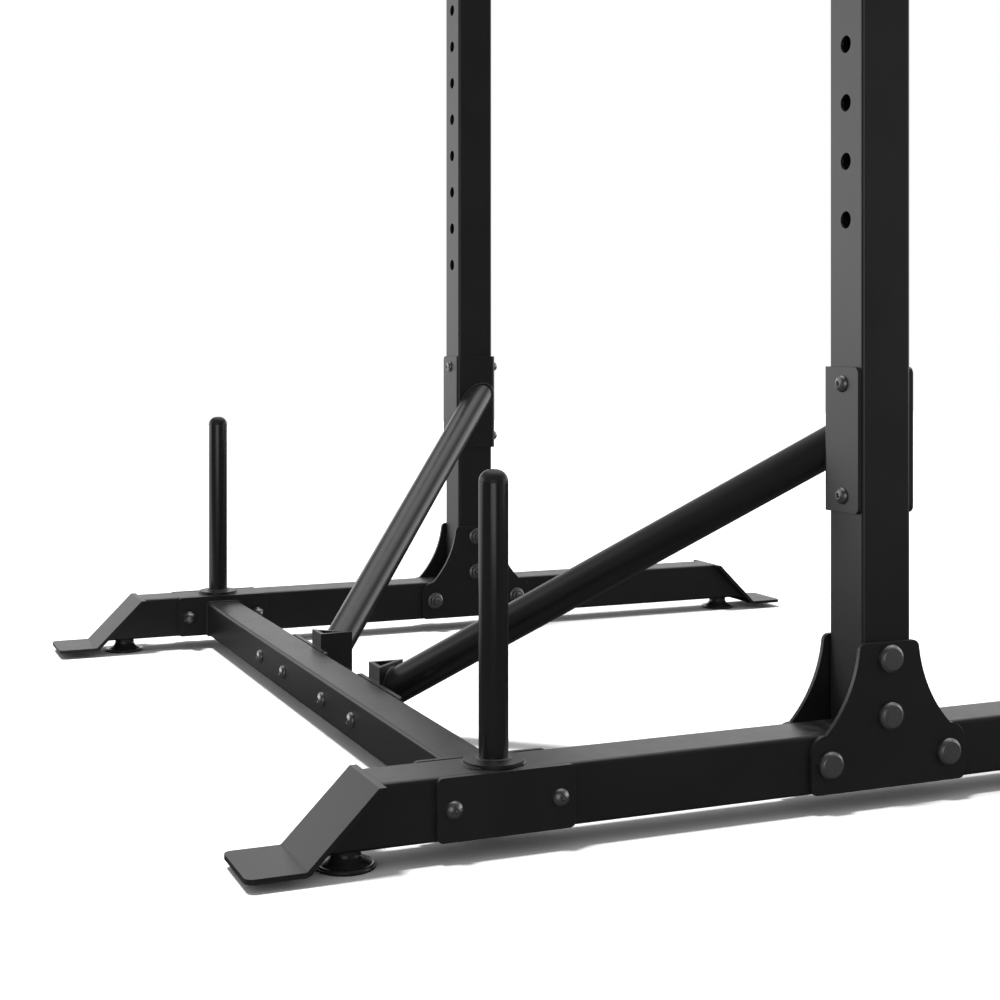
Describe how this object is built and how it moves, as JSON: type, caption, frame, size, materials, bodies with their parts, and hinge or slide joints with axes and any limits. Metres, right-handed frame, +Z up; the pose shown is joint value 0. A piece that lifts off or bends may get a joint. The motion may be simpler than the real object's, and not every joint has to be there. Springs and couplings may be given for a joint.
{
  "type": "pair of squat stands",
  "caption": "Pair of squat stands: square uprights with a column of holes and a bar cup, on base beams with storage pins, joined by a rear beam and diagonal braces.",
  "frame": {"origin": "on the floor, under the middle of the part, midway between the stands and midway between the tips of the front and rear tabs", "axes": "+Z up along the uprights, +X from the left stand to the right stand, -Y towards the lifter, who faces the side that the bar cups are on"},
  "size_m": [1.223, 1.267, 1.8],
  "materials": {
    "powder_coat": "satin black powder coat with a fine texture",
    "bolt_steel": "smooth black-coated steel with a soft sheen",
    "bare_steel": "plain zinc-plated steel",
    "foot_rubber": "smooth black moulded rubber",
    "cap_plastic": "fine-textured black plastic",
    "liner_plastic": "waxy black plastic"
  },
  "bodies": {
    "frame": {"left_upright": "powder_coat", "left_upright_cap": "cap_plastic", "left_base_beam": "powder_coat", "left_rear_end_plate": "powder_coat", "left_front_end_plate": "powder_coat", "left_outer_gusset": "powder_coat", "left_inner_gusset": "powder_coat", "left_gusset_bolts": "bolt_steel", "left_gusset_nuts": "bolt_steel", "left_brace_bracket": "powder_coat", "left_brace": "powder_coat", "left_brace_foot": "powder_coat", "left_cross_beam_end_plate": "powder_coat", "left_backing_plate": "powder_coat", "left_storage_pin": "powder_coat", "left_storage_pin_cap": "cap_plastic", "left_storage_pin_flange": "powder_coat", "right_upright": "powder_coat", "right_upright_cap": "cap_plastic", "right_base_beam": "powder_coat", "right_rear_end_plate": "powder_coat", "right_front_end_plate": "powder_coat", "right_outer_gusset": "powder_coat", "right_inner_gusset": "powder_coat", "right_gusset_bolts": "bolt_steel", "right_gusset_nuts": "bolt_steel", "right_brace_bracket": "powder_coat", "right_brace": "powder_coat", "right_brace_foot": "powder_coat", "right_cross_beam_end_plate": "powder_coat", "right_backing_plate": "powder_coat", "right_storage_pin": "powder_coat", "right_storage_pin_cap": "cap_plastic", "right_storage_pin_flange": "powder_coat", "cross_beam": "powder_coat", "brace_bolts": "bolt_steel", "domed_nuts": "bolt_steel", "foot_weld_nuts": "bare_steel"},
    "left_cup": {"left_cup_bracket": "powder_coat", "left_cup_liner": "liner_plastic", "left_cup_pin": "bare_steel", "left_cup_screws": "bolt_steel"},
    "left_rear_foot": {"left_rear_foot_pad": "foot_rubber", "left_rear_foot_stem": "bare_steel"},
    "left_front_foot": {"left_front_foot_pad": "foot_rubber", "left_front_foot_stem": "bare_steel"},
    "right_cup": {"right_cup_bracket": "powder_coat", "right_cup_liner": "liner_plastic", "right_cup_pin": "bare_steel", "right_cup_screws": "bolt_steel"},
    "right_rear_foot": {"right_rear_foot_pad": "foot_rubber", "right_rear_foot_stem": "bare_steel"},
    "right_front_foot": {"right_front_foot_pad": "foot_rubber", "right_front_foot_stem": "bare_steel"}
  },
  "joints": [
    {"name": "left_cup_pull", "type": "slide", "parent": "frame", "child": "left_cup", "axis": [0, -1, 0], "range_m": [0, 0.055]},
    {"name": "left_rear_foot_height", "type": "slide", "parent": "frame", "child": "left_rear_foot", "axis": [0, 0, -1], "range_m": [0, 0.009]},
    {"name": "left_front_foot_height", "type": "slide", "parent": "frame", "child": "left_front_foot", "axis": [0, 0, -1], "range_m": [0, 0.009]},
    {"name": "right_cup_pull", "type": "slide", "parent": "frame", "child": "right_cup", "axis": [0, -1, 0], "range_m": [0, 0.055]},
    {"name": "right_rear_foot_height", "type": "slide", "parent": "frame", "child": "right_rear_foot", "axis": [0, 0, -1], "range_m": [0, 0.009]},
    {"name": "right_front_foot_height", "type": "slide", "parent": "frame", "child": "right_front_foot", "axis": [0, 0, -1], "range_m": [0, 0.009]}
  ]
}
